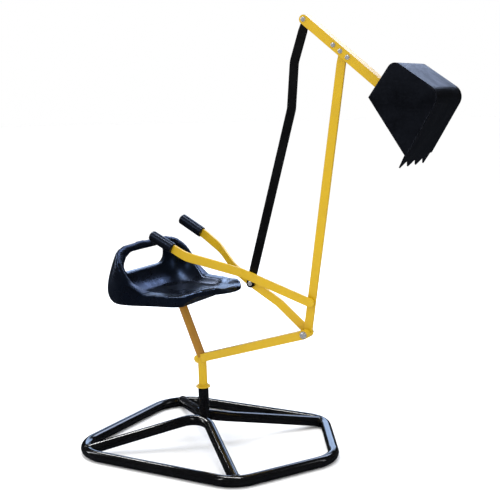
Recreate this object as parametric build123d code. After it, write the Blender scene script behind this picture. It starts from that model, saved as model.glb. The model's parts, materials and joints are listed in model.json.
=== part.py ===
import os
from math import asin, atan2, cos, degrees, hypot, pi, radians, sin, tan

from build123d import *

# Ride-on sandbox excavator. Millimetres, +Z up, origin on the floor under the swivel post.
# +X points forward, towards the base's nose and the bucket; +Y is the rider's left.

# base frame
base_tube_d = 25.4
base_wall = 1.6
base_rear_x = -242.0
base_corner_x = 218.0
base_nose_x = 353.0
base_half_width = 225.0
rear_bend_r = 95.0
front_bend_r = 75.0
nose_bend_r = 80.0
leg_bend_r = 58.0
leg_peak_z = 66.0

# swivel
running_clearance = 0.05
body_gap = 0.3
post_d = 21.3
post_wall = 2.0
sleeve_bottom_z = 45.0
sleeve_top_z = 138.0
flange_d = 36.0
flange_t = 4.0

# support arm, a square tube that carries the elbow bolt
beam = 20.0
beam_wall = 2.0
beam_rear_x = -17.0
beam_rear_z = 212.0

# elbow, wrist, tail and handle pivots in the side view
elbow = (283.0, 297.0)
wrist = (383.0, 925.0)
tail = (297.0, 997.0)
link_foot = (136.0, 403.0)

# flat bars and how they stack across the machine
bar_width = 20.0
bar_t = 6.0
boom_y = 11.0
dig_y = boom_y + bar_t + body_gap
lift_y = 0.0

# digging arm channel
channel_y0 = 0.0
channel_w = 28.0
channel_h = 20.0
channel_wall = 2.0
channel_mid_y = channel_y0 + channel_w / 2
stop_spacing = 21.5
stop_r = 6.0
bar_end_r = 7.5

# bolts
small_bolt_r = 3.0
large_bolt_r = 4.0
open_pivot_r = 4.8

# grips
grip_d = 26.0
grip_length = 68.0

# bucket
bucket_w = 158.0
sheet = 2.0
bucket_top_r = 17.0
bucket_heel_r = 27.0
bucket_profile = [(473.0, 826.0), (526.6, 899.7), (627.5, 829.0), (552.5, 704.0)]
tooth_count = 4
tooth_pitch = 46.3
tooth_root = 11.0
tooth_tip = 28.0

# seat
seat_length_scale = 1.0
seat_width_scale = 1.0
pan_z = 376.0
pan_t = 10.0
rim_t = 16.0
plate_t = 3.0
plate_x = -62.0

os.makedirs("parts", exist_ok=True)


def save(part, name):
    export_step(part, f"parts/{name}.step")


def rounded_path(points, radii, closed=False):
    """Straight runs joined by tangent arcs; radii has one entry per bend."""
    places = [Vector(*point) for point in points]
    count = len(places)
    edges = []
    bends = []
    for index in range(count):
        if not closed and index in (0, count - 1):
            bends.append((places[index], places[index]))
            continue
        here = places[index]
        back = (places[index - 1] - here).normalized()
        ahead = (places[(index + 1) % count] - here).normalized()
        half = radians(back.get_angle(ahead)) / 2
        radius = radii[index] if closed else radii[index - 1]
        start = here + back * (radius / tan(half))
        end = here + ahead * (radius / tan(half))
        middle = here + (back + ahead).normalized() * (radius / sin(half) - radius)
        edges.append(ThreePointArc(start, middle, end).edge())
        bends.append((start, end))
    last = count if closed else count - 1
    for index in range(last):
        start = bends[index][1]
        end = bends[(index + 1) % count][0]
        edges.append(Line(start, end).edge())
    return Wire(edges)


def round_tube(path, diameter, wall):
    """Returns the tube and the same tube without its bore."""
    section = Plane(origin=path @ 0, z_dir=path % 0)
    solid = sweep(section * Circle(diameter / 2), path)
    bore = sweep(section * Circle(diameter / 2 - wall), path)
    return solid - bore, solid


def peg(place, y0, y1, radius):
    """Cylinder along +Y at a side-view place."""
    where = Pos(place[0], y0, place[1]) * Rot(-90, 0, 0)
    return where * Cylinder(radius, y1 - y0, align=(Align.CENTER, Align.CENTER, Align.MIN))


def ring(place, y0, y1, outer, inner):
    return peg(place, y0, y1, outer) - peg(place, y0 - 1, y1 + 1, inner)


def side_slab(face, y0, y1):
    """Pushes a side-view face from y0 to y1."""
    return extrude(Plane.XZ.offset(-y0) * face, amount=-(y1 - y0))


def band(points, width, bend):
    """Strip of constant width with round ends along a bent line."""
    if len(points) > 2:
        line = Wire(FilletPolyline(*points, radius=bend).edges())
    else:
        line = Wire(Line(*points).edges())
    return Face(line.offset_2d(width / 2, kind=Kind.ARC, side=Side.BOTH, closed=True))


def splayed_bar(side_points, plan_points):
    """Flat bar on edge: bent in the side view, then splayed sideways."""
    side = side_slab(band(side_points, bar_width, 60), -200, 200)
    plan = extrude(band(plan_points, bar_t, 40), amount=1200)
    return side & plan


def domed_bolt(place, head_y, end_y, radius, head_r, head_h):
    """Button head towards -Y, with its underside at head_y."""
    head = peg(place, head_y - head_h, head_y, head_r)
    crown = head.edges().group_by(Axis.Y)[0]
    return fillet(crown, head_h * 0.75) + peg(place, head_y, end_y, radius)


def hex_nut(place, y0, y1, across, bore):
    where = Pos(place[0], y0, place[1]) * Rot(-90, 0, 0)
    body = where * extrude(RegularPolygon(across / 3**0.5, 6), amount=y1 - y0)
    return body - peg(place, y0 - 1, y1 + 1, bore)


def along(start, end, distance):
    length = hypot(end[0] - start[0], end[1] - start[1])
    share = distance / length
    return (start[0] + (end[0] - start[0]) * share, start[1] + (end[1] - start[1]) * share)


# ---- base ----
ring_z = base_tube_d / 2
ring_path = rounded_path(
    [
        (base_rear_x, -base_half_width, ring_z),
        (base_corner_x, -base_half_width, ring_z),
        (base_nose_x, 0, ring_z),
        (base_corner_x, base_half_width, ring_z),
        (base_rear_x, base_half_width, ring_z),
    ],
    [rear_bend_r, front_bend_r, nose_bend_r, front_bend_r, rear_bend_r],
    closed=True,
)
base_ring, ring_solid = round_tube(ring_path, base_tube_d, base_wall)
save(base_ring, "base_ring")

sleeve_h = sleeve_top_z - sleeve_bottom_z
sleeve_place = Pos(0, 0, sleeve_bottom_z)
upright = (Align.CENTER, Align.CENTER, Align.MIN)
sleeve_solid = sleeve_place * Cylinder(base_tube_d / 2, sleeve_h, align=upright)
sleeve_bore = sleeve_place * Cylinder(post_d / 2 + running_clearance, sleeve_h, align=upright)
save(sleeve_solid - sleeve_bore, "pivot_sleeve")

leg_rear = base_half_width - 18
leg_front = base_half_width - 14
for name, side in (("leg_right", -1), ("leg_left", 1)):
    leg_path = rounded_path(
        [
            (-leg_rear, side * leg_rear, ring_z),
            (0, 0, leg_peak_z),
            (leg_front, side * leg_front, ring_z),
        ],
        [leg_bend_r],
    )
    leg = round_tube(leg_path, base_tube_d, base_wall)[0]
    save(leg - ring_solid - sleeve_solid, name)

# ---- swivel post and support arm ----
beam_angle = atan2(elbow[1] - beam_rear_z, elbow[0])
beam_rear = (beam_rear_x, beam_rear_z + beam_rear_x * tan(beam_angle))
beam_start = along(beam_rear, elbow, beam / 2)
beam_solid = side_slab(band([beam_start, elbow], beam, 0), -beam / 2, beam / 2)
beam_core = side_slab(
    band([beam_start, elbow], beam - 2 * beam_wall, 0),
    -beam / 2 + beam_wall,
    beam / 2 - beam_wall,
)
crush_tube = ring(elbow, -beam / 2 + beam_wall, beam / 2 - beam_wall, 7, large_bolt_r)
elbow_hole = peg(elbow, -beam, beam, large_bolt_r)
save(beam_solid - beam_core - elbow_hole, "support_arm")
save(crush_tube, "elbow_crush_tube")

post_bottom_z = sleeve_bottom_z - 0.6
post_top_z = beam_rear_z
post_place = Pos(0, 0, post_bottom_z)
post_h = post_top_z - post_bottom_z
post_solid = post_place * Cylinder(post_d / 2, post_h, align=upright)
post_bore_r = post_d / 2 - post_wall
post_bore = post_place * Cylinder(post_bore_r, post_h, align=upright)
save(post_solid - post_bore - beam_solid, "swivel_post")

flange_z = sleeve_top_z + body_gap
flange_place = Pos(0, 0, flange_z)
flange = flange_place * Cylinder(flange_d / 2, flange_t, align=upright)
flange = fillet(flange.edges().filter_by(GeomType.CIRCLE), 1.2)
flange -= flange_place * Cylinder(post_d / 2, flange_t, align=upright)
save(flange, "swivel_flange")

washer_t = 2.5
head_h = 5.5
washer_z = post_bottom_z - washer_t
washer = Pos(0, 0, washer_z) * Cylinder(16, washer_t, align=upright)
screw = Pos(0, 0, washer_z - head_h) * extrude(RegularPolygon(13 / 3**0.5, 6), amount=head_h)
screw += Pos(0, 0, washer_z) * Cylinder(large_bolt_r, 16, align=upright)
plug = post_place * Cylinder(post_bore_r, 12, align=upright)
save(washer - screw, "retaining_washer")
save(screw, "retaining_screw")
save(plug - screw, "post_plug")

# ---- seat post and plate ----
plate_z = pan_z - pan_t - plate_t
seat_post_path = Wire(Line((-1.0, 0, 214.6), (plate_x, 0, plate_z + 4)).edges())
seat_post_tube = round_tube(seat_post_path, post_d, post_wall)[0]
above_plate = Pos(plate_x, 0, plate_z) * Box(120, 120, 40, align=upright)
save(seat_post_tube - beam_solid - above_plate - post_solid, "seat_post")

bolt_places = [(plate_x + dx, dy) for dx in (-40, 40) for dy in (-32, 32)]
plate = extrude(Pos(plate_x, 0, plate_z) * RectangleRounded(108, 92, 10), amount=plate_t)
seat_bolts = []
for x, y in bolt_places:
    head = Pos(x, y, plate_z - 4) * extrude(RegularPolygon(10 / 3**0.5, 6), amount=4)
    shank = Pos(x, y, plate_z) * Cylinder(small_bolt_r, plate_t + 8, align=upright)
    seat_bolts.append(head + shank)
seat_bolts = Compound(seat_bolts)
save(plate - seat_bolts, "seat_plate")
save(seat_bolts, "seat_bolts")

# ---- seat ----
seat_mid_x = -45.0
seat_low = [
    (-192, 0),
    (-191, 60),
    (-185, 106),
    (-173, 133),
    (-149, 150),
    (-112, 154),
    (-70, 146),
    (-30, 138),
    (0, 134),
    (24, 124),
    (44, 106),
    (66, 80),
    (86, 54),
    (102, 28),
    (108, 0),
]
seat_sections = [
    (361, 12, 0),
    (374, 3, 0),
    (400, 0, 0),
    (440, 3, 9),
    (475, 9, 20),
    (506, 20, 32),
]


def seat_outline(z, inset, rear_shift=0.0):
    """Plan of the seat at one height, pulled in by inset, its back moved forward."""
    half = []
    for x, y in seat_low:
        run = (x - seat_mid_x) * seat_length_scale
        run *= 1 - inset / 150
        if run < 0:
            run += rear_shift * (run / 150) ** 2
        half.append((seat_mid_x + run, y * (1 - inset / 150) * seat_width_scale))
    mirrored = [(x, -y) for x, y in half[-2:0:-1]]
    spline = Spline(*[(x, y, z) for x, y in half + mirrored], periodic=True)
    return Face(Wire(spline.edges()))


def seat_cut(points, top, bend):
    """Everything above a side-view line, for trimming the rim and the pan."""
    curve = FilletPolyline(*points, radius=bend)
    cap = Polyline(points[-1], (points[-1][0], top), (points[0][0], top), points[0])
    return side_slab(make_face(curve.edges() + cap.edges()), -220, 220)


seat_body = loft([seat_outline(*section) for section in seat_sections])
rim_line = [
    (-240, 503),
    (-160, 503),
    (-128, 462),
    (-98, 416),
    (-62, 392),
    (16, 389),
    (60, 401),
    (130, 408),
]
seat_body -= seat_cut(rim_line, 560, 22)
pan_walls = loft(
    [
        seat_outline(374, rim_t + 44, 24),
        seat_outline(390, rim_t + 22, 20),
        seat_outline(415, rim_t + 6, 18),
        seat_outline(450, rim_t + 2, 20),
        seat_outline(512, rim_t + 16, 36),
    ]
)
floor_line = [(-250, pan_z), (-10, pan_z), (40, 386), (100, 399), (170, 404)]
front_throat = Pos(75, 0, 370) * Box(160, 84, 150, align=upright)
pan_tool = (pan_walls + front_throat) & seat_cut(floor_line, 560, 60)
under_line = [(-250, 330), (20, 330), (24, 362), (50, 383), (170, 384)]
under_tool = (Pos(0, 0, 250) * Box(600, 500, 200, align=upright)) - seat_cut(under_line, 560, 6)
hollow_tool = loft([seat_outline(340, 22), seat_outline(366, 18)])
hollow_tool = hollow_tool & (Pos(-125, 0, 330) * Box(250, 400, 60, align=upright))
hole_in = Plane(origin=(-138, 0, 448), x_dir=(0, 1, 0), z_dir=(-1, 0, 0)) * RectangleRounded(118, 44, 17)
hole_out = Plane(origin=(-198, 0, 452), x_dir=(0, 1, 0), z_dir=(-1, 0, 0)) * RectangleRounded(250, 62, 28)
hand_hole = loft([hole_in, hole_out])
seat = seat_body - pan_tool - hollow_tool - hand_hole - under_tool - seat_bolts
save(seat, "seat")

# ---- elbow hardware ----
beam_face = beam / 2
dig_face = dig_y + bar_t
elbow_washer_t = 1.2
near_washer = ring(elbow, -beam_face - elbow_washer_t, -beam_face, 8.5, large_bolt_r)
mid_washer = ring(elbow, beam_face, boom_y - body_gap, 9, large_bolt_r)
far_washer = ring(elbow, dig_face + body_gap, dig_face + body_gap + elbow_washer_t, 8.5, large_bolt_r)
nut_y = dig_face + body_gap + elbow_washer_t
head_y = -beam_face - elbow_washer_t
save(domed_bolt(elbow, head_y, nut_y + 8.5, large_bolt_r, 7.0, 4.5), "elbow_bolt")
save(Compound([near_washer, mid_washer, far_washer]), "elbow_washers")
save(hex_nut(elbow, nut_y, nut_y + 7, 13, large_bolt_r), "elbow_nut")

# ---- boom ----
boom_face = boom_y + bar_t
boom_shoulder = along(wrist, elbow, 26)
boom_profile = band([boom_shoulder, elbow], bar_width, 0)
neck = make_hull(
    [
        *Circle(bar_end_r).moved(Location((wrist[0], wrist[1], 0))).edges(),
        *Circle(bar_width / 2).moved(Location((boom_shoulder[0], boom_shoulder[1], 0))).edges(),
    ]
)
boom_bar = side_slab(boom_profile, boom_y, boom_face) + side_slab(neck, boom_y, boom_face)
boom_bar -= peg(elbow, 0, 40, large_bolt_r + running_clearance)
boom_bar -= peg(wrist, 0, 40, small_bolt_r + running_clearance)
save(boom_bar, "boom_bar")

# ---- lift lever, welded to the boom through a pad ----
lift_root = (295.0, 371.0)
lift_kink = (2.0, 468.0)
lift_end = (-85.0, 510.5)
lift_lever = splayed_bar(
    [lift_root, lift_kink, lift_end],
    [(330, lift_y + 3), (118, lift_y + 3), (-5, -50), (-140, -50)],
)
save(lift_lever, "lift_lever")
pad_end = along(lift_root, lift_kink, 8)
lever_pad = side_slab(band([lift_root, pad_end], 14, 0), lift_y + bar_t, boom_y)
save(lever_pad, "lever_pad")


def grip_on(bar, end, joint, y):
    """Round grip with a domed closed end, slipped over a bar's end."""
    tip = along(end, joint, -(bar_width / 2 + 4))
    heading = Vector(joint[0] - tip[0], 0, joint[1] - tip[1]).normalized()
    frame = Plane(origin=(tip[0], y, tip[1]), z_dir=heading)
    body = frame * Cylinder(grip_d / 2, grip_length, align=upright)
    ends = body.edges().filter_by(GeomType.CIRCLE).sort_by(Axis.X)
    body = fillet(ends[0], 6)
    mouth = body.edges().filter_by(GeomType.CIRCLE).sort_by(Axis.X)[-1]
    body = fillet(mouth, 2)
    return body - bar


save(grip_on(lift_lever, lift_end, lift_kink, -50), "lift_grip")

# ---- digging lever ----
dig_bend = (207.0, 361.0)
dig_kink = (-11.0, 508.0)
dig_end = (-66.0, 539.0)
dig_lever = splayed_bar(
    [elbow, dig_bend, link_foot, dig_kink, dig_end],
    [(330, dig_y + 3), (90, dig_y + 3), (33, 52), (-140, 52)],
)
dig_grip = grip_on(dig_lever, dig_end, dig_kink, 52)
dig_lever -= peg(elbow, 0, 40, large_bolt_r + running_clearance)
dig_lever -= peg(link_foot, 0, 40, small_bolt_r)
save(dig_lever, "dig_lever")
save(dig_grip, "dig_grip")
link_head_y = boom_y - body_gap
save(domed_bolt(link_foot, link_head_y, dig_face + 7, small_bolt_r, 5.3, 3.4), "link_bolt")
save(hex_nut(link_foot, dig_face, dig_face + 6, 10, small_bolt_r), "link_nut")

# ---- link rod ----
rod_low = (256.0, 806.0)
rod_high = (266.0, 908.0)
rod_shoulder = along(tail, rod_high, 26)
rod_profile = band([link_foot, rod_low, rod_high, rod_shoulder], bar_width, 45)
rod_neck = make_hull(
    [
        *Circle(bar_end_r).moved(Location((tail[0], tail[1], 0))).edges(),
        *Circle(bar_width / 2).moved(Location((rod_shoulder[0], rod_shoulder[1], 0))).edges(),
    ]
)
link_rod = side_slab(rod_profile, boom_y, boom_face) + side_slab(rod_neck, boom_y, boom_face)
link_rod -= peg(link_foot, 0, 40, small_bolt_r + running_clearance)
link_rod -= peg(tail, 0, 40, open_pivot_r)
save(link_rod, "link_rod")

# ---- digging arm ----
arm_angle = degrees(atan2(tail[1] - wrist[1], wrist[0] - tail[0]))
arm_reach = hypot(tail[0] - wrist[0], tail[1] - wrist[1])
arm_frame = Location((wrist[0], 0, wrist[1]), (0, arm_angle, 0))


def on_arm(distance):
    """Side-view place on the arm's centre line, measured forward from the wrist."""
    turn = radians(arm_angle)
    return (wrist[0] + distance * cos(turn), wrist[1] - distance * sin(turn))


back_plate = (bucket_profile[0], bucket_profile[1])
plate_run = hypot(back_plate[1][0] - back_plate[0][0], back_plate[1][1] - back_plate[0][1])
plate_dir = ((back_plate[1][0] - back_plate[0][0]) / plate_run, (back_plate[1][1] - back_plate[0][1]) / plate_run)


def at_back_plate(run, depth):
    """Side-view place along the bucket's back plate and out of its outer face."""
    return (
        back_plate[0][0] + plate_dir[0] * run - plate_dir[1] * depth,
        back_plate[0][1] + plate_dir[1] * run + plate_dir[0] * depth,
    )


def back_slab(run0, run1, depth0, depth1, y0, y1):
    corners = [
        at_back_plate(run0, depth0),
        at_back_plate(run1, depth0),
        at_back_plate(run1, depth1),
        at_back_plate(run0, depth1),
    ]
    return side_slab(make_face(Polyline(*corners, close=True).edges()), y0, y1)


flange_plate_t = 3.0
arm_end = channel_y0 + channel_w
arm_shape = side_slab(band([tail, on_arm(170)], channel_h, 0), channel_y0, arm_end)
trough = arm_frame * Box(
    420,
    channel_w - 2 * channel_wall,
    channel_h,
    align=(Align.CENTER, Align.MIN, Align.MIN),
)
trough = Pos(0, channel_y0 + channel_wall, 0) * trough
drop = channel_h / 2 + channel_wall
turn = radians(arm_angle)
trough = Pos(-drop * sin(turn), 0, -drop * cos(turn)) * trough
arm_places = [tail, on_arm(-stop_spacing), wrist, on_arm(stop_spacing)]
digging_arm = arm_shape - trough - back_slab(-60, 140, -80, flange_plate_t, -10, 60)
for place in arm_places:
    digging_arm -= peg(place, -10, 40, small_bolt_r)
save(digging_arm, "digging_arm")

arm_bolts = [domed_bolt(place, channel_y0, arm_end + 6.5, small_bolt_r, 5.3, 3.6) for place in arm_places]
arm_nuts = [hex_nut(place, arm_end, arm_end + 5, 10, small_bolt_r) for place in arm_places]
save(Compound(arm_bolts), "arm_bolts")
save(Compound(arm_nuts), "arm_nuts")
inner0 = channel_y0 + channel_wall
inner1 = arm_end - channel_wall
stops = [ring(place, inner0, inner1, stop_r, small_bolt_r) for place in (arm_places[1], arm_places[3])]
save(Compound(stops), "stop_spacers")
spacers = []
for place in (tail, wrist):
    spacers.append(ring(place, inner0, boom_y - body_gap, 5.5, small_bolt_r))
    spacers.append(ring(place, boom_face + body_gap, inner1, 5.5, small_bolt_r))
save(Compound(spacers), "pivot_spacers")

# ---- bucket ----
bucket_y0 = channel_mid_y - bucket_w / 2
bucket_y1 = channel_mid_y + bucket_w / 2
corners = [(x, 0, z) for x, z in bucket_profile]


bucket_line = rounded_path(corners, [bucket_top_r, bucket_heel_r])
mouth_line = Line(corners[-1], corners[0]).edge()
bucket_outline = Face(Wire([*bucket_line.edges(), mouth_line]))


def push_y(face, y0, y1):
    placed = face.moved(Location((0, y0, 0)))
    return extrude(placed, amount=y1 - y0, dir=(0, 1, 0))


def sheet_strip(side):
    return Face(bucket_line.offset_2d(sheet, side=side, closed=True))


strips = [sheet_strip(side) for side in (Side.LEFT, Side.RIGHT)]
strips.sort(key=lambda strip: (bucket_outline & strip).area)
bucket_shell = push_y(strips[-1], bucket_y0, bucket_y1)
side_face = bucket_outline - strips[-1]
side_right = push_y(side_face, bucket_y0, bucket_y0 + sheet)
side_left = push_y(side_face, bucket_y1 - sheet, bucket_y1)

flange_mid_y = channel_mid_y
bucket_bolt_places = [at_back_plate(run, 0) for run in (10, 42)]
bucket_bolt_rows = (flange_mid_y - 23, flange_mid_y + 23)
out_dir = Vector(-plate_dir[1], 0, plate_dir[0])
bucket_bolts = []
bucket_nuts = []
for place in bucket_bolt_places:
    for y in bucket_bolt_rows:
        frame = Plane(origin=(place[0], y, place[1]), z_dir=out_dir)
        shank = frame * Cylinder(2.5, sheet + flange_plate_t + 5, align=upright)
        shank = shank.moved(Location(out_dir * -sheet))
        head_part = frame * Cylinder(4.6, 2.6, align=(Align.CENTER, Align.CENTER, Align.MAX))
        head_part = head_part.moved(Location(out_dir * -sheet))
        bucket_bolts.append(shank + head_part)
        nut = frame * extrude(RegularPolygon(8 / 3**0.5, 6), amount=4) - frame * Cylinder(2.5, 20)
        bucket_nuts.append(nut.moved(Location(out_dir * flange_plate_t)))
bucket_bolts = Compound(bucket_bolts)
save(bucket_bolts, "bucket_bolts")
save(Compound(bucket_nuts), "bucket_nuts")
flange_y0 = flange_mid_y - 33
flange_y1 = flange_mid_y + 33
save(back_slab(2, 50, 0, flange_plate_t, flange_y0, flange_y1) - bucket_bolts, "bucket_flange")
save(bucket_shell - bucket_bolts, "bucket_shell")
save(side_right, "bucket_side_right")
save(side_left, "bucket_side_left")

# ---- cutting edge with its teeth, lying on the inside of the outer panel ----
lip = Vector(corners[3])
lip_down = (lip - Vector(corners[2])).normalized()
lip_in = Vector(lip_down.Z, 0, -lip_down.X)
edge_t = 3.0
edge_frame = Plane(origin=lip + lip_in * sheet, x_dir=(0, 1, 0), z_dir=lip_in)
edge_y0 = bucket_y0 + sheet
edge_y1 = bucket_y1 - sheet
first_tip = channel_mid_y - tooth_pitch * (tooth_count - 1) / 2
flip = 1 if (edge_frame.y_dir.dot(lip_down)) > 0 else -1
outline = [(edge_y0, -22 * flip), (edge_y0, 0)]
for index in range(tooth_count):
    tip_y = first_tip + index * tooth_pitch
    outline.append((tip_y, tooth_tip * flip))
    if index < tooth_count - 1:
        outline.append((tip_y + tooth_pitch / 2, tooth_root * flip))
outline += [(edge_y1, 0), (edge_y1, -22 * flip)]
edge_face = edge_frame * make_face(Polyline(*outline, close=True).edges())
save(extrude(edge_face, amount=edge_t), "cutting_edge")
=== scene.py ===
import bpy
import bmesh
import json
import math
from mathutils import Matrix, Vector


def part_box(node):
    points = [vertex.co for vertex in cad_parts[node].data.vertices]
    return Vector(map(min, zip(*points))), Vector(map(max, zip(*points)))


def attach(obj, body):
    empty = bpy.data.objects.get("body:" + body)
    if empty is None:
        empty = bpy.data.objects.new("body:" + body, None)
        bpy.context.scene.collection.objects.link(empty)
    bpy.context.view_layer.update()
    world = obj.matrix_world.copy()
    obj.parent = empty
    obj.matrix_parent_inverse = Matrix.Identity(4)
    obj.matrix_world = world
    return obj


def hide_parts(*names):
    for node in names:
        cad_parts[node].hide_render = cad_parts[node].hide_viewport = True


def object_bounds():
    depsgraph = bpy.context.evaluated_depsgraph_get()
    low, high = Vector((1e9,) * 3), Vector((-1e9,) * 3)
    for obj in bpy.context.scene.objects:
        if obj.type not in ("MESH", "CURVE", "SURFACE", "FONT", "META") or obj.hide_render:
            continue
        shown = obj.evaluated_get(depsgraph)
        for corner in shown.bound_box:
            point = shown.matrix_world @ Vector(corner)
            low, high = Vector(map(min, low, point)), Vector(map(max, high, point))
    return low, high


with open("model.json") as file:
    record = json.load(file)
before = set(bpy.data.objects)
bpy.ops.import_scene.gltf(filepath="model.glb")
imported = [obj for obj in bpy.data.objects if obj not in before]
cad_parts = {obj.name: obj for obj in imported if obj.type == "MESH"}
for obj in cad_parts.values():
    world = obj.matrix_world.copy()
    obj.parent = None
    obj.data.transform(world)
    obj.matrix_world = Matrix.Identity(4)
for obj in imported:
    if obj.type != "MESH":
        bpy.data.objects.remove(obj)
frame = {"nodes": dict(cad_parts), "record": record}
cadLow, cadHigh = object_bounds()
nodes = frame["nodes"]
bpy.ops.object.select_all(action="DESELECT")
print("frame loaded:", len(nodes), "nodes")


def pickOnly(obj):
    bpy.ops.object.select_all(action="DESELECT")
    obj.select_set(True)
    bpy.context.view_layer.objects.active = obj


def editMode(obj, kind="FACE"):
    pickOnly(obj)
    bpy.ops.object.mode_set(mode="EDIT")
    bpy.ops.mesh.select_mode(type=kind)
    bpy.ops.mesh.select_all(action="DESELECT")
    return bmesh.from_edit_mesh(obj.data)


def pickFaces(obj, test):
    mesh = editMode(obj)
    for face in mesh.faces:
        face.select_set(test(face))
    bmesh.update_edit_mesh(obj.data)


def objectMode():
    bpy.ops.object.mode_set(mode="OBJECT")


def settle(obj):
    # place, turn and size go into the mesh, as a CAD node has them
    pickOnly(obj)
    bpy.ops.object.transform_apply(location=True, rotation=True, scale=True)


def smoothEdges(obj, degrees=35):
    pickOnly(obj)
    bpy.ops.object.shade_smooth_by_angle(angle=math.radians(degrees))


def applyAll(obj):
    pickOnly(obj)
    for modifier in list(obj.modifiers):
        bpy.ops.object.modifier_apply(modifier=modifier.name)


def dress(obj, material):
    obj.data.materials.clear()
    obj.data.materials.append(material)


def newGroup(name, inputs, outputs):
    group = bpy.data.node_groups.new(name, "ShaderNodeTree")
    for label, kind, value in inputs:
        socket = group.interface.new_socket(label, in_out="INPUT", socket_type=kind)
        socket.default_value = value
    for label, kind in outputs:
        group.interface.new_socket(label, in_out="OUTPUT", socket_type=kind)
    start = group.nodes.new("NodeGroupInput")
    end = group.nodes.new("NodeGroupOutput")
    return group, start, end


def addNode(tree, kind, **values):
    node = tree.nodes.new(kind)
    for key, value in values.items():
        if hasattr(node, key):
            setattr(node, key, value)
        else:
            node.inputs[key.replace("_", " ")].default_value = value
    return node


def mathNode(tree, operation, first, second, clamp=False):
    node = tree.nodes.new("ShaderNodeMath")
    node.operation = operation
    node.use_clamp = clamp
    for index, value in enumerate((first, second)):
        if isinstance(value, (int, float)):
            node.inputs[index].default_value = value
        else:
            tree.links.new(value, node.inputs[index])
    return node.outputs[0]


def objectPlace(tree):
    return tree.nodes.new("ShaderNodeTexCoord").outputs["Object"]


def noiseNode(tree, scale, detail=3.0, roughness=0.55, stretch=None):
    place = objectPlace(tree)
    if stretch:
        mapping = tree.nodes.new("ShaderNodeMapping")
        mapping.inputs["Scale"].default_value = stretch
        tree.links.new(place, mapping.inputs["Vector"])
        place = mapping.outputs["Vector"]
    noise = tree.nodes.new("ShaderNodeTexNoise")
    noise.inputs["Detail"].default_value = detail
    noise.inputs["Roughness"].default_value = roughness
    tree.links.new(place, noise.inputs["Vector"])
    if isinstance(scale, (int, float)):
        noise.inputs["Scale"].default_value = scale
    else:
        tree.links.new(scale, noise.inputs["Scale"])
    return noise.outputs["Fac"]


def rampNode(tree, value, low, high):
    ramp = tree.nodes.new("ShaderNodeMapRange")
    ramp.interpolation_type = "SMOOTHSTEP"
    ramp.inputs["From Min"].default_value = low
    ramp.inputs["From Max"].default_value = high
    tree.links.new(value, ramp.inputs["Value"])
    return ramp.outputs["Result"]


def makeCloudGroup():
    # soft value drift over a surface: 0..1 in Mask
    group, start, end = newGroup(
        "surfaceClouds",
        [("Scale", "NodeSocketFloat", 6.0), ("Low", "NodeSocketFloat", 0.35), ("High", "NodeSocketFloat", 0.65)],
        [("Mask", "NodeSocketFloat")],
    )
    noise = noiseNode(group, start.outputs["Scale"], detail=4.0)
    ramp = addNode(group, "ShaderNodeMapRange", interpolation_type="SMOOTHSTEP")
    group.links.new(noise, ramp.inputs["Value"])
    group.links.new(start.outputs["Low"], ramp.inputs["From Min"])
    group.links.new(start.outputs["High"], ramp.inputs["From Max"])
    group.links.new(ramp.outputs["Result"], end.inputs["Mask"])
    return group


def makeWearGroup():
    # worn edges: where the rounded normal leaves the flat one, broken up by noise
    group, start, end = newGroup(
        "edgeWear",
        [
            ("Radius", "NodeSocketFloat", 0.0012),
            ("Amount", "NodeSocketFloat", 0.5),
            ("Breakup", "NodeSocketFloat", 90.0),
        ],
        [("Mask", "NodeSocketFloat"), ("Rounded", "NodeSocketVector")],
    )
    bevel = addNode(group, "ShaderNodeBevel", samples=6)
    group.links.new(start.outputs["Radius"], bevel.inputs["Radius"])
    geometry = group.nodes.new("ShaderNodeNewGeometry")
    dot = addNode(group, "ShaderNodeVectorMath", operation="DOT_PRODUCT")
    group.links.new(bevel.outputs["Normal"], dot.inputs[0])
    group.links.new(geometry.outputs["Normal"], dot.inputs[1])
    away = mathNode(group, "SUBTRACT", 1.0, dot.outputs["Value"])
    edge = rampNode(group, away, 0.02, 0.16)
    noise = noiseNode(group, start.outputs["Breakup"], detail=5.0, roughness=0.65)
    patch = rampNode(group, noise, 0.5, 0.62)
    worn = mathNode(group, "MULTIPLY", edge, patch)
    amount = mathNode(group, "MULTIPLY", worn, start.outputs["Amount"], clamp=True)
    group.links.new(amount, end.inputs["Mask"])
    group.links.new(bevel.outputs["Normal"], end.inputs["Rounded"])
    return group


def makeSkinGroup():
    # orange-peel height of sprayed or moulded skins, with a slower wave under it
    group, start, end = newGroup(
        "skinRelief",
        [("Peel", "NodeSocketFloat", 420.0), ("Wave", "NodeSocketFloat", 26.0), ("Wave Share", "NodeSocketFloat", 0.5)],
        [("Height", "NodeSocketFloat")],
    )
    peel = noiseNode(group, start.outputs["Peel"], detail=2.0)
    wave = noiseNode(group, start.outputs["Wave"], detail=2.0)
    share = mathNode(group, "MULTIPLY", wave, start.outputs["Wave Share"])
    group.links.new(mathNode(group, "ADD", peel, share), end.inputs["Height"])
    return group


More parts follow.
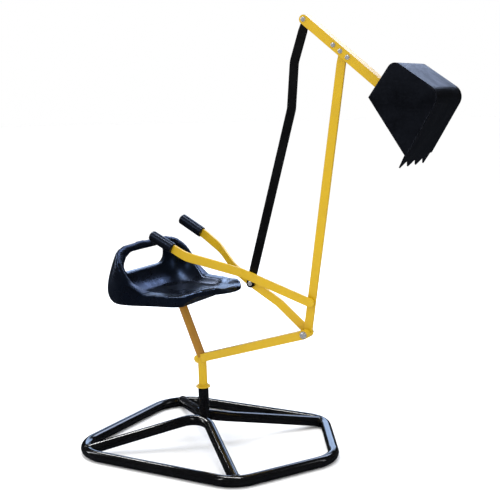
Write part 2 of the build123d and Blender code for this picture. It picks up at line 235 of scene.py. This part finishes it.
def makeScuffGroup():
    # long fine scratches that cross each other
    group, start, end = newGroup(
        "fineScuffs",
        [("Scale", "NodeSocketFloat", 60.0), ("Amount", "NodeSocketFloat", 0.5)],
        [("Mask", "NodeSocketFloat")],
    )
    total = None
    for turn, stretch in ((0.5, (1.0, 14.0, 14.0)), (-0.8, (12.0, 1.0, 12.0))):
        mapping = group.nodes.new("ShaderNodeMapping")
        mapping.inputs["Rotation"].default_value = (turn, turn * 0.7, turn * 1.9)
        mapping.inputs["Scale"].default_value = stretch
        group.links.new(objectPlace(group), mapping.inputs["Vector"])
        noise = group.nodes.new("ShaderNodeTexNoise")
        noise.inputs["Detail"].default_value = 3.0
        group.links.new(mapping.outputs["Vector"], noise.inputs["Vector"])
        group.links.new(start.outputs["Scale"], noise.inputs["Scale"])
        streak = rampNode(group, noise.outputs["Fac"], 0.66, 0.74)
        total = streak if total is None else mathNode(group, "MAXIMUM", total, streak)
    amount = mathNode(group, "MULTIPLY", total, start.outputs["Amount"], clamp=True)
    group.links.new(amount, end.inputs["Mask"])
    return group


clouds = makeCloudGroup()
edgeWear = makeWearGroup()
skinRelief = makeSkinGroup()
fineScuffs = makeScuffGroup()
print("shader groups ready")


def placeGroup(tree, group, **values):
    node = tree.nodes.new("ShaderNodeGroup")
    node.node_tree = group
    for key, value in values.items():
        node.inputs[key.replace("_", " ")].default_value = value
    return node


def mixColour(tree, factor, first, second, blend="MIX"):
    node = tree.nodes.new("ShaderNodeMix")
    node.data_type = "RGBA"
    node.blend_type = blend
    for index, value in ((0, factor), (6, first), (7, second)):
        if isinstance(value, (int, float)):
            node.inputs[index].default_value = value
        elif isinstance(value, tuple):
            node.inputs[index].default_value = (*value, 1.0)
        else:
            tree.links.new(value, node.inputs[index])
    return node.outputs[2]


def mixValue(tree, factor, first, second):
    ramp = tree.nodes.new("ShaderNodeMapRange")
    ramp.inputs["To Min"].default_value = first
    ramp.inputs["To Max"].default_value = second
    tree.links.new(factor, ramp.inputs["Value"])
    return ramp.outputs["Result"]


def newMaterial(name):
    material = bpy.data.materials.new(name)
    material.use_nodes = True
    tree = material.node_tree
    shader = tree.nodes["Principled BSDF"]
    return material, tree, shader


def makePaint(name, look):
    # sprayed or powder-coated steel: colour drift, worn edges, scuffs, orange peel
    material, tree, shader = newMaterial(name)
    drift = placeGroup(tree, clouds, Scale=look["driftScale"], Low=0.3, High=0.7)
    fineDrift = placeGroup(tree, clouds, Scale=look["driftScale"] * 9, Low=0.42, High=0.72)
    wear = placeGroup(tree, edgeWear, Radius=look["edgeRadius"], Amount=look["wear"], Breakup=look["wearScale"])
    scuffs = placeGroup(tree, fineScuffs, Scale=look["scuffScale"], Amount=look["scuffs"])
    colour = mixColour(tree, drift.outputs["Mask"], look["colour"], look["drift"])
    colour = mixColour(tree, mathNode(tree, "MULTIPLY", fineDrift.outputs["Mask"], 0.35), colour, look["speck"])
    colour = mixColour(tree, scuffs.outputs["Mask"], colour, look["scuffColour"])
    colour = mixColour(tree, wear.outputs["Mask"], colour, look["wearColour"])
    tree.links.new(colour, shader.inputs["Base Color"])
    rough = mixValue(tree, drift.outputs["Mask"], look["rough"][0], look["rough"][1])
    rough = mathNode(tree, "ADD", rough, mathNode(tree, "MULTIPLY", scuffs.outputs["Mask"], 0.25))
    rough = mathNode(tree, "ADD", rough, mathNode(tree, "MULTIPLY", wear.outputs["Mask"], 0.2), clamp=True)
    tree.links.new(rough, shader.inputs["Roughness"])
    skin = placeGroup(tree, skinRelief, Peel=look["peel"], Wave=look["wave"], Wave_Share=look["waveShare"])
    height = mathNode(tree, "SUBTRACT", skin.outputs["Height"], mathNode(tree, "MULTIPLY", wear.outputs["Mask"], 0.6))
    bump = addNode(tree, "ShaderNodeBump", Strength=look["bump"], Distance=look["bumpDepth"])
    tree.links.new(height, bump.inputs["Height"])
    tree.links.new(wear.outputs["Rounded"], bump.inputs["Normal"])
    tree.links.new(bump.outputs["Normal"], shader.inputs["Normal"])
    shader.inputs["Coat Weight"].default_value = look["coat"]
    shader.inputs["Coat Roughness"].default_value = look["coatRough"]
    shader.inputs["Specular Tint"].default_value = (*look["sheenTint"], 1.0)
    shader.inputs["Specular IOR Level"].default_value = look["specular"]
    return material


yellowLook = {
    "colour": (0.61, 0.385, 0.006), "drift": (0.575, 0.355, 0.005), "speck": (0.64, 0.41, 0.009),
    "driftScale": 9.0, "edgeRadius": 0.0011, "wear": 0.35, "wearScale": 120.0, "wearColour": (0.33, 0.22, 0.05),
    "scuffScale": 26.0, "scuffs": 0.16, "scuffColour": (0.52, 0.33, 0.03), "rough": (0.3, 0.42),
    "peel": 620.0, "wave": 60.0, "waveShare": 0.6, "bump": 0.22, "bumpDepth": 0.0006,
    "coat": 0.25, "coatRough": 0.2, "sheenTint": (1.0, 1.0, 1.0), "specular": 0.4,
}
glossBlackLook = {
    "colour": (0.0022, 0.0022, 0.0026), "drift": (0.0036, 0.0036, 0.0042), "speck": (0.006, 0.006, 0.007),
    "driftScale": 14.0, "edgeRadius": 0.001, "wear": 0.3, "wearScale": 150.0, "wearColour": (0.06, 0.055, 0.05),
    "scuffScale": 22.0, "scuffs": 0.2, "scuffColour": (0.03, 0.03, 0.033), "rough": (0.08, 0.15),
    "peel": 480.0, "wave": 55.0, "waveShare": 1.0, "bump": 0.16, "bumpDepth": 0.0008,
    "coat": 0.35, "coatRough": 0.06, "sheenTint": (1.0, 1.0, 1.0), "specular": 0.6,
}
satinBlackLook = {
    "colour": (0.0018, 0.0018, 0.0022), "drift": (0.003, 0.0032, 0.0042), "speck": (0.006, 0.0065, 0.009),
    "driftScale": 20.0, "edgeRadius": 0.0013, "wear": 0.45, "wearScale": 95.0, "wearColour": (0.08, 0.08, 0.09),
    "scuffScale": 20.0, "scuffs": 0.2, "scuffColour": (0.016, 0.017, 0.021), "rough": (0.3, 0.46),
    "peel": 520.0, "wave": 34.0, "waveShare": 1.4, "bump": 0.24, "bumpDepth": 0.001,
    "coat": 0.0, "coatRough": 0.2, "sheenTint": (0.6, 0.7, 1.0), "specular": 0.5,
}
rodBlackLook = dict(satinBlackLook, rough=(0.34, 0.46), wear=0.3, sheenTint=(1.0, 1.0, 1.0), specular=0.2)

seatPostShadeLook = dict(  # painted shade: a browner, darker copy of the yellow coat for the post in the seat's shade
    yellowLook, colour=(0.4, 0.185, 0.012), drift=(0.34, 0.15, 0.01), speck=(0.45, 0.22, 0.015), scuffs=0.3
)

yellowPaint = makePaint("yellowPowderCoat", yellowLook)
# the seat post's coat, with painted shade
seatPostShadedPaint = makePaint("seatPostShadedPowderCoat", seatPostShadeLook)
glossBlack = makePaint("glossBlackPaint", glossBlackLook)
satinBlack = makePaint("bucketBlackPaint", satinBlackLook)
rodBlack = makePaint("rodBlackPaint", rodBlackLook)


def makeZinc(name, look):
    material, tree, shader = newMaterial(name)
    drift = placeGroup(tree, clouds, Scale=look["driftScale"], Low=0.3, High=0.7)
    scuffs = placeGroup(tree, fineScuffs, Scale=look["scuffScale"], Amount=look["scuffs"])
    wear = placeGroup(tree, edgeWear, Radius=look["edgeRadius"], Amount=0.5, Breakup=300.0)
    colour = mixColour(tree, drift.outputs["Mask"], look["colour"], look["drift"])
    colour = mixColour(tree, scuffs.outputs["Mask"], colour, look["scuffColour"])
    colour = mixColour(tree, wear.outputs["Mask"], colour, look["edgeColour"])
    tree.links.new(colour, shader.inputs["Base Color"])
    rough = mixValue(tree, drift.outputs["Mask"], look["rough"][0], look["rough"][1])
    tree.links.new(rough, shader.inputs["Roughness"])
    shader.inputs["Metallic"].default_value = look["metallic"]
    skin = placeGroup(tree, skinRelief, Peel=900.0, Wave=180.0, Wave_Share=0.6)
    bump = addNode(tree, "ShaderNodeBump", Strength=0.15, Distance=0.0003)
    tree.links.new(skin.outputs["Height"], bump.inputs["Height"])
    tree.links.new(wear.outputs["Rounded"], bump.inputs["Normal"])
    tree.links.new(bump.outputs["Normal"], shader.inputs["Normal"])
    return material


zincLook = {
    "colour": (0.66, 0.66, 0.67), "drift": (0.5, 0.51, 0.54), "driftScale": 120.0, "scuffScale": 200.0,
    "scuffs": 0.35, "scuffColour": (0.3, 0.3, 0.31), "edgeRadius": 0.0004, "edgeColour": (0.8, 0.8, 0.79),
    "rough": (0.2, 0.36), "metallic": 0.6,
}
zincPlate = makeZinc("zincPlate", zincLook)


def makePlastic(name, look):
    # moulded plastic or vinyl: fine grain, faint flow marks, polished patches where hands and legs rub
    material, tree, shader = newMaterial(name)
    drift = placeGroup(tree, clouds, Scale=look["driftScale"], Low=0.32, High=0.68)
    polish = placeGroup(tree, clouds, Scale=look["driftScale"] * 2.3, Low=0.46, High=0.62)
    scuffs = placeGroup(tree, fineScuffs, Scale=look["scuffScale"], Amount=look["scuffs"])
    colour = mixColour(tree, drift.outputs["Mask"], look["colour"], look["drift"])
    colour = mixColour(tree, scuffs.outputs["Mask"], colour, look["scuffColour"])
    tree.links.new(colour, shader.inputs["Base Color"])
    rough = mixValue(tree, polish.outputs["Mask"], look["rough"][1], look["rough"][0])
    rough = mathNode(tree, "ADD", rough, mathNode(tree, "MULTIPLY", scuffs.outputs["Mask"], 0.2), clamp=True)
    tree.links.new(rough, shader.inputs["Roughness"])
    skin = placeGroup(tree, skinRelief, Peel=look["grain"], Wave=look["wave"], Wave_Share=look["waveShare"])
    bump = addNode(tree, "ShaderNodeBump", Strength=look["bump"], Distance=look["bumpDepth"])
    tree.links.new(skin.outputs["Height"], bump.inputs["Height"])
    tree.links.new(bump.outputs["Normal"], shader.inputs["Normal"])
    shader.inputs["Specular Tint"].default_value = (*look["sheenTint"], 1.0)
    shader.inputs["Specular IOR Level"].default_value = look["specular"]
    return material


seatLook = {
    "colour": (0.0022, 0.0026, 0.004), "drift": (0.0036, 0.0045, 0.0072), "driftScale": 9.0, "scuffScale": 16.0,
    "scuffs": 0.18, "scuffColour": (0.012, 0.014, 0.02), "rough": (0.2, 0.32), "grain": 520.0, "wave": 30.0,
    "waveShare": 1.3, "bump": 0.22, "bumpDepth": 0.0009, "sheenTint": (0.3, 0.5, 1.0), "specular": 0.75,
}
gripLook = {
    "colour": (0.0025, 0.003, 0.0045), "drift": (0.0045, 0.0055, 0.0085), "driftScale": 40.0, "scuffScale": 60.0,
    "scuffs": 0.2, "scuffColour": (0.012, 0.013, 0.018), "rough": (0.2, 0.32), "grain": 900.0, "wave": 80.0,
    "waveShare": 0.5, "bump": 0.2, "bumpDepth": 0.0005, "sheenTint": (0.45, 0.6, 1.0), "specular": 0.4,
}
nylonLook = {
    "colour": (0.5, 0.49, 0.45), "drift": (0.42, 0.41, 0.37), "driftScale": 60.0, "scuffScale": 90.0,
    "scuffs": 0.3, "scuffColour": (0.3, 0.29, 0.26), "rough": (0.4, 0.55), "grain": 700.0, "wave": 90.0,
    "waveShare": 0.5, "bump": 0.15, "bumpDepth": 0.0004, "sheenTint": (1.0, 1.0, 1.0), "specular": 0.5,
}
seatPlastic = makePlastic("seatPlastic", seatLook)
gripVinyl = makePlastic("gripVinyl", gripLook)
nylon = makePlastic("spacerNylon", nylonLook)
print("materials ready")

slotMaterials = {
    "yellow_paint": yellowPaint,
    "black_paint": glossBlack,
    "bucket_paint": satinBlack,
    "zinc": zincPlate,
    "seat_plastic": seatPlastic,
    "grip_rubber": gripVinyl,
    "spacer_plastic": nylon,
}
for part in frame["record"]["subparts"]:
    dress(nodes[part["node"]], slotMaterials[part["material_slot"]])
dress(nodes["link_rod"], rodBlack)
# painted shade: the seat post is dressed in the darker copy of the yellow coat
dress(nodes["seat_post"], seatPostShadedPaint)

seatShape = {
    "voxel": 0.0026, "softenPasses": 14, "softness": 0.5, "noseLength": 0.11, "noseFloor": 0.027, "nosePasses": 60,
}
pickOnly(nodes["seat"])
bpy.ops.object.duplicate(linked=False)
seatShell = bpy.context.object
seatShell.name = "seatShell"
editMode(seatShell)
bpy.ops.mesh.select_all(action="SELECT")
bpy.ops.mesh.remove_doubles(threshold=0.00001)
bpy.ops.mesh.normals_make_consistent(inside=False)
objectMode()
remesh = seatShell.modifiers.new("skin", "REMESH")
remesh.mode = "VOXEL"
remesh.voxel_size = seatShape["voxel"]
soften = seatShell.modifiers.new("soften", "SMOOTH")
soften.iterations = seatShape["softenPasses"]
soften.factor = seatShape["softness"]
applyAll(seatShell)
seatLow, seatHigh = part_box("seat")
mesh = editMode(seatShell, "VERT")
for vert in mesh.verts:  # the nose: one smooth sweep from the dish to the front edge
    isNose = vert.co.x > seatHigh.x - seatShape["noseLength"]
    vert.select_set(isNose and vert.co.z > seatLow.z + seatShape["noseFloor"])
bmesh.update_edit_mesh(seatShell.data)
bpy.ops.mesh.vertices_smooth(factor=0.5, repeat=seatShape["nosePasses"])
objectMode()
finish = seatShell.modifiers.new("finish", "SMOOTH")
finish.iterations = 2
finish.factor = 0.5
applyAll(seatShell)
pickOnly(seatShell)
bpy.ops.object.shade_smooth()
dress(seatShell, seatPlastic)
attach(seatShell, "turret")
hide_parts("seat")
print("seat shell:", len(seatShell.data.polygons), "faces")


weldShape = {
    "steps": 60, "around": 10, "bead": 0.0022, "ripple": 0.00035, "rippleEvery": 3, "stand": 0.0004,
    "saddleStand": 0.0008, "floorGap": 0.0006,
}


def weldBead(name, centre, axis, radius, material, body, saddle=0.0):
    # a rippled bead round a tube's end; saddle is the radius of the tube that it is welded to
    bpy.ops.object.select_all(action="DESELECT")
    bpy.ops.mesh.primitive_torus_add(
        major_radius=radius,
        minor_radius=weldShape["bead"],
        major_segments=weldShape["steps"],
        minor_segments=weldShape["around"],
    )
    bead = bpy.context.object
    bead.name = name
    turn = Vector(axis).normalized().to_track_quat("Z", "Y").to_matrix().to_4x4()
    bead.matrix_world = Matrix.Translation(Vector(centre)) @ turn
    settle(bead)
    direction = Vector(axis).normalized()
    editMode(bead, "VERT")
    for step in range(weldShape["steps"]):
        bpy.ops.mesh.select_all(action="DESELECT")
        mesh = bmesh.from_edit_mesh(bead.data)
        mesh.verts.ensure_lookup_table()
        ringVerts = [mesh.verts[step * weldShape["around"] + index] for index in range(weldShape["around"])]
        middleZ = sum(vert.co.z for vert in ringVerts) / weldShape["around"] - centre[2]
        for vert in ringVerts:
            vert.select_set(True)
        bmesh.update_edit_mesh(bead.data)
        if saddle:
            sink = saddle - math.sqrt(max(saddle**2 - middleZ**2, 0.0))
            bpy.ops.transform.translate(value=direction * sink)
        if step % weldShape["rippleEvery"] == 0:
            bpy.ops.transform.shrink_fatten(value=weldShape["ripple"])
    bpy.ops.mesh.select_all(action="SELECT")
    bpy.ops.mesh.bisect(  # ground off where it would touch the floor
        plane_co=(0, 0, cadLow.z + weldShape["floorGap"]), plane_no=(0, 0, 1), clear_inner=True, use_fill=True
    )
    bpy.ops.mesh.select_all(action="SELECT")
    bpy.ops.mesh.normals_make_consistent(inside=False)
    objectMode()
    smoothEdges(bead, 60)
    dress(bead, material)
    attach(bead, body)
    return bead


baseWelds = {
    # how far along the diagonals the legs meet the ring, and the tube that is used throughout
    "rear": -0.1965, "front": 0.2055, "tube": 0.0127, "legPeak": 0.066, "rearEnd": 0.207, "frontEnd": 0.211,
}
for end, reach, run in (
    ("Rear", baseWelds["rear"], baseWelds["rearEnd"]),
    ("Front", baseWelds["front"], baseWelds["frontEnd"]),
):
    for label, side in (("Right", -1), ("Left", 1)):
        slope = (baseWelds["legPeak"] - baseWelds["tube"]) / run
        away = math.copysign(1.0, reach)
        weldBead(
            "legWeld" + end + label,
            (reach, side * abs(reach), baseWelds["legPeak"] - slope * abs(reach)),
            (away, side, -slope),
            baseWelds["tube"] + weldShape["stand"],
            glossBlack,
            "base",
            saddle=baseWelds["tube"] + weldShape["saddleStand"],
        )
print("base welds done")

postLow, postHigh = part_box("swivel_post")
flangeLow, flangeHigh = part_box("swivel_flange")
postRadius = (postHigh.x - postLow.x) / 2
weldBead(
    "flangeWeld",
    (0, 0, flangeHigh.z + weldShape["saddleStand"]),
    (0, 0, 1),
    postRadius + weldShape["saddleStand"],
    yellowPaint,
    "turret",
)
print("turret welds done")

floorLook = {"size": 60.0, "colour": (0.96, 0.96, 0.96), "mirrored": (0.02, 0.022, 0.026)}
bpy.ops.mesh.primitive_plane_add(size=floorLook["size"], location=(0, 0, cadLow.z - 0.0005))
floor = bpy.context.object
floor.name = "studioFloor"
settle(floor)
pickFaces(floor, lambda face: True)
bpy.ops.mesh.subdivide(number_cuts=3)
objectMode()
floorMaterial, tree, shader = newMaterial("studioFloor")
haze = placeGroup(tree, clouds, Scale=0.7, Low=0.2, High=0.8)
tint = mixColour(tree, haze.outputs["Mask"], floorLook["colour"], (0.94, 0.94, 0.945))
tree.links.new(tint, shader.inputs["Base Color"])
shader.inputs["Roughness"].default_value = 0.8
shader.inputs["Specular IOR Level"].default_value = 0.1
shade = addNode(tree, "ShaderNodeBsdfDiffuse")  # what polished black mirrors of the floor, kept dim
shade.inputs["Color"].default_value = (*floorLook["mirrored"], 1.0)
floorPath = tree.nodes.new("ShaderNodeLightPath")
floorMix = tree.nodes.new("ShaderNodeMixShader")
tree.links.new(floorPath.outputs["Is Glossy Ray"], floorMix.inputs[0])
tree.links.new(shader.outputs[0], floorMix.inputs[1])
tree.links.new(shade.outputs[0], floorMix.inputs[2])
tree.links.new(floorMix.outputs[0], tree.nodes["Material Output"].inputs["Surface"])
dress(floor, floorMaterial)

world = bpy.data.worlds.new("studioWorld")
bpy.context.scene.world = world
world.use_nodes = True
worldTree = world.node_tree
background = worldTree.nodes["Background"]
background.inputs["Color"].default_value = (1.0, 1.0, 1.0, 1.0)
background.inputs["Strength"].default_value = 1.0
daylight = addNode(worldTree, "ShaderNodeBackground", Strength=1.13)  # what matt surfaces receive
daylight.inputs["Color"].default_value = (1.0, 1.0, 1.0, 1.0)
gloom = addNode(worldTree, "ShaderNodeBackground", Strength=0.02)  # what gloss mirrors between lamps
path = worldTree.nodes.new("ShaderNodeLightPath")
indirect = worldTree.nodes.new("ShaderNodeMixShader")
blendWorld = worldTree.nodes.new("ShaderNodeMixShader")
worldTree.links.new(path.outputs["Is Glossy Ray"], indirect.inputs[0])
worldTree.links.new(daylight.outputs[0], indirect.inputs[1])
worldTree.links.new(gloom.outputs[0], indirect.inputs[2])
worldTree.links.new(path.outputs["Is Camera Ray"], blendWorld.inputs[0])
worldTree.links.new(indirect.outputs[0], blendWorld.inputs[1])
worldTree.links.new(background.outputs[0], blendWorld.inputs[2])
worldTree.links.new(blendWorld.outputs[0], worldTree.nodes["World Output"].inputs["Surface"])

middle = (cadLow + cadHigh) / 2
lamps = {
    # name: offset from the object's middle, size across, size up, power, colour
    "topSoftbox": ((-0.8, 0.3, 2.1), 0.14, 3.2, 52.0, (1.0, 1.0, 1.0)),
    "keyStrip": ((-0.9, -2.3, 1.7), 0.25, 1.0, 7.0, (1.0, 1.0, 1.0)),
    "leftStrip": ((-2.3, -0.6, 0.9), 0.22, 1.6, 9.0, (0.95, 0.97, 1.0)),
    "rightStrip": ((2.4, 0.6, 0.9), 0.22, 1.6, 4.0, (0.95, 0.97, 1.0)),
    "backStrip": ((-0.1, 2.4, 1.75), 1.6, 0.7, 20.0, (0.6, 0.72, 1.0)),
    "backLow": ((-1.2, 2.3, 0.4), 2.2, 0.7, 15.0, (0.5, 0.67, 1.0)),
}
for name, (offset, across, up, power, colour) in lamps.items():
    light = bpy.data.lights.new(name, "AREA")
    light.shape = "RECTANGLE"
    light.size = across
    light.size_y = up
    light.energy = power
    light.color = colour
    lamp = bpy.data.objects.new(name, light)
    bpy.context.scene.collection.objects.link(lamp)
    lamp.location = middle + Vector(offset)
    lamp.rotation_euler = (middle - lamp.location).to_track_quat("-Z", "Y").to_euler()

shot = {
    "azimuth": 30.093, "elevation": 8.964, "roll": -1.934, "distance": 2.21479, "lens": 68.716, "sensor": 36.0,
    "aim": (0.145275, 0.0, 0.484924), "farthest": 50.0,
}
aim = Vector(shot["aim"])
azimuth = math.radians(shot["azimuth"])
elevation = math.radians(shot["elevation"])
back = Vector(
    (
        math.sin(azimuth) * math.cos(elevation),
        -math.cos(azimuth) * math.cos(elevation),
        math.sin(elevation),
    )
)
lens = bpy.data.cameras.new("shotCamera")
lens.lens = shot["lens"]
lens.sensor_width = shot["sensor"]
lens.clip_end = shot["farthest"]
camera = bpy.data.objects.new("shotCamera", lens)
bpy.context.scene.collection.objects.link(camera)
look = (-back).to_track_quat("-Z", "Y").to_matrix().to_4x4()
camera.matrix_world = Matrix.Translation(aim + back * shot["distance"]) @ look @ Matrix.Rotation(
    math.radians(shot["roll"]), 4, "Z"
)
bpy.context.scene.camera = camera
bpy.context.scene.view_settings.view_transform = "Standard"
bpy.context.scene.view_settings.look = "None"
print("camera and light ready")
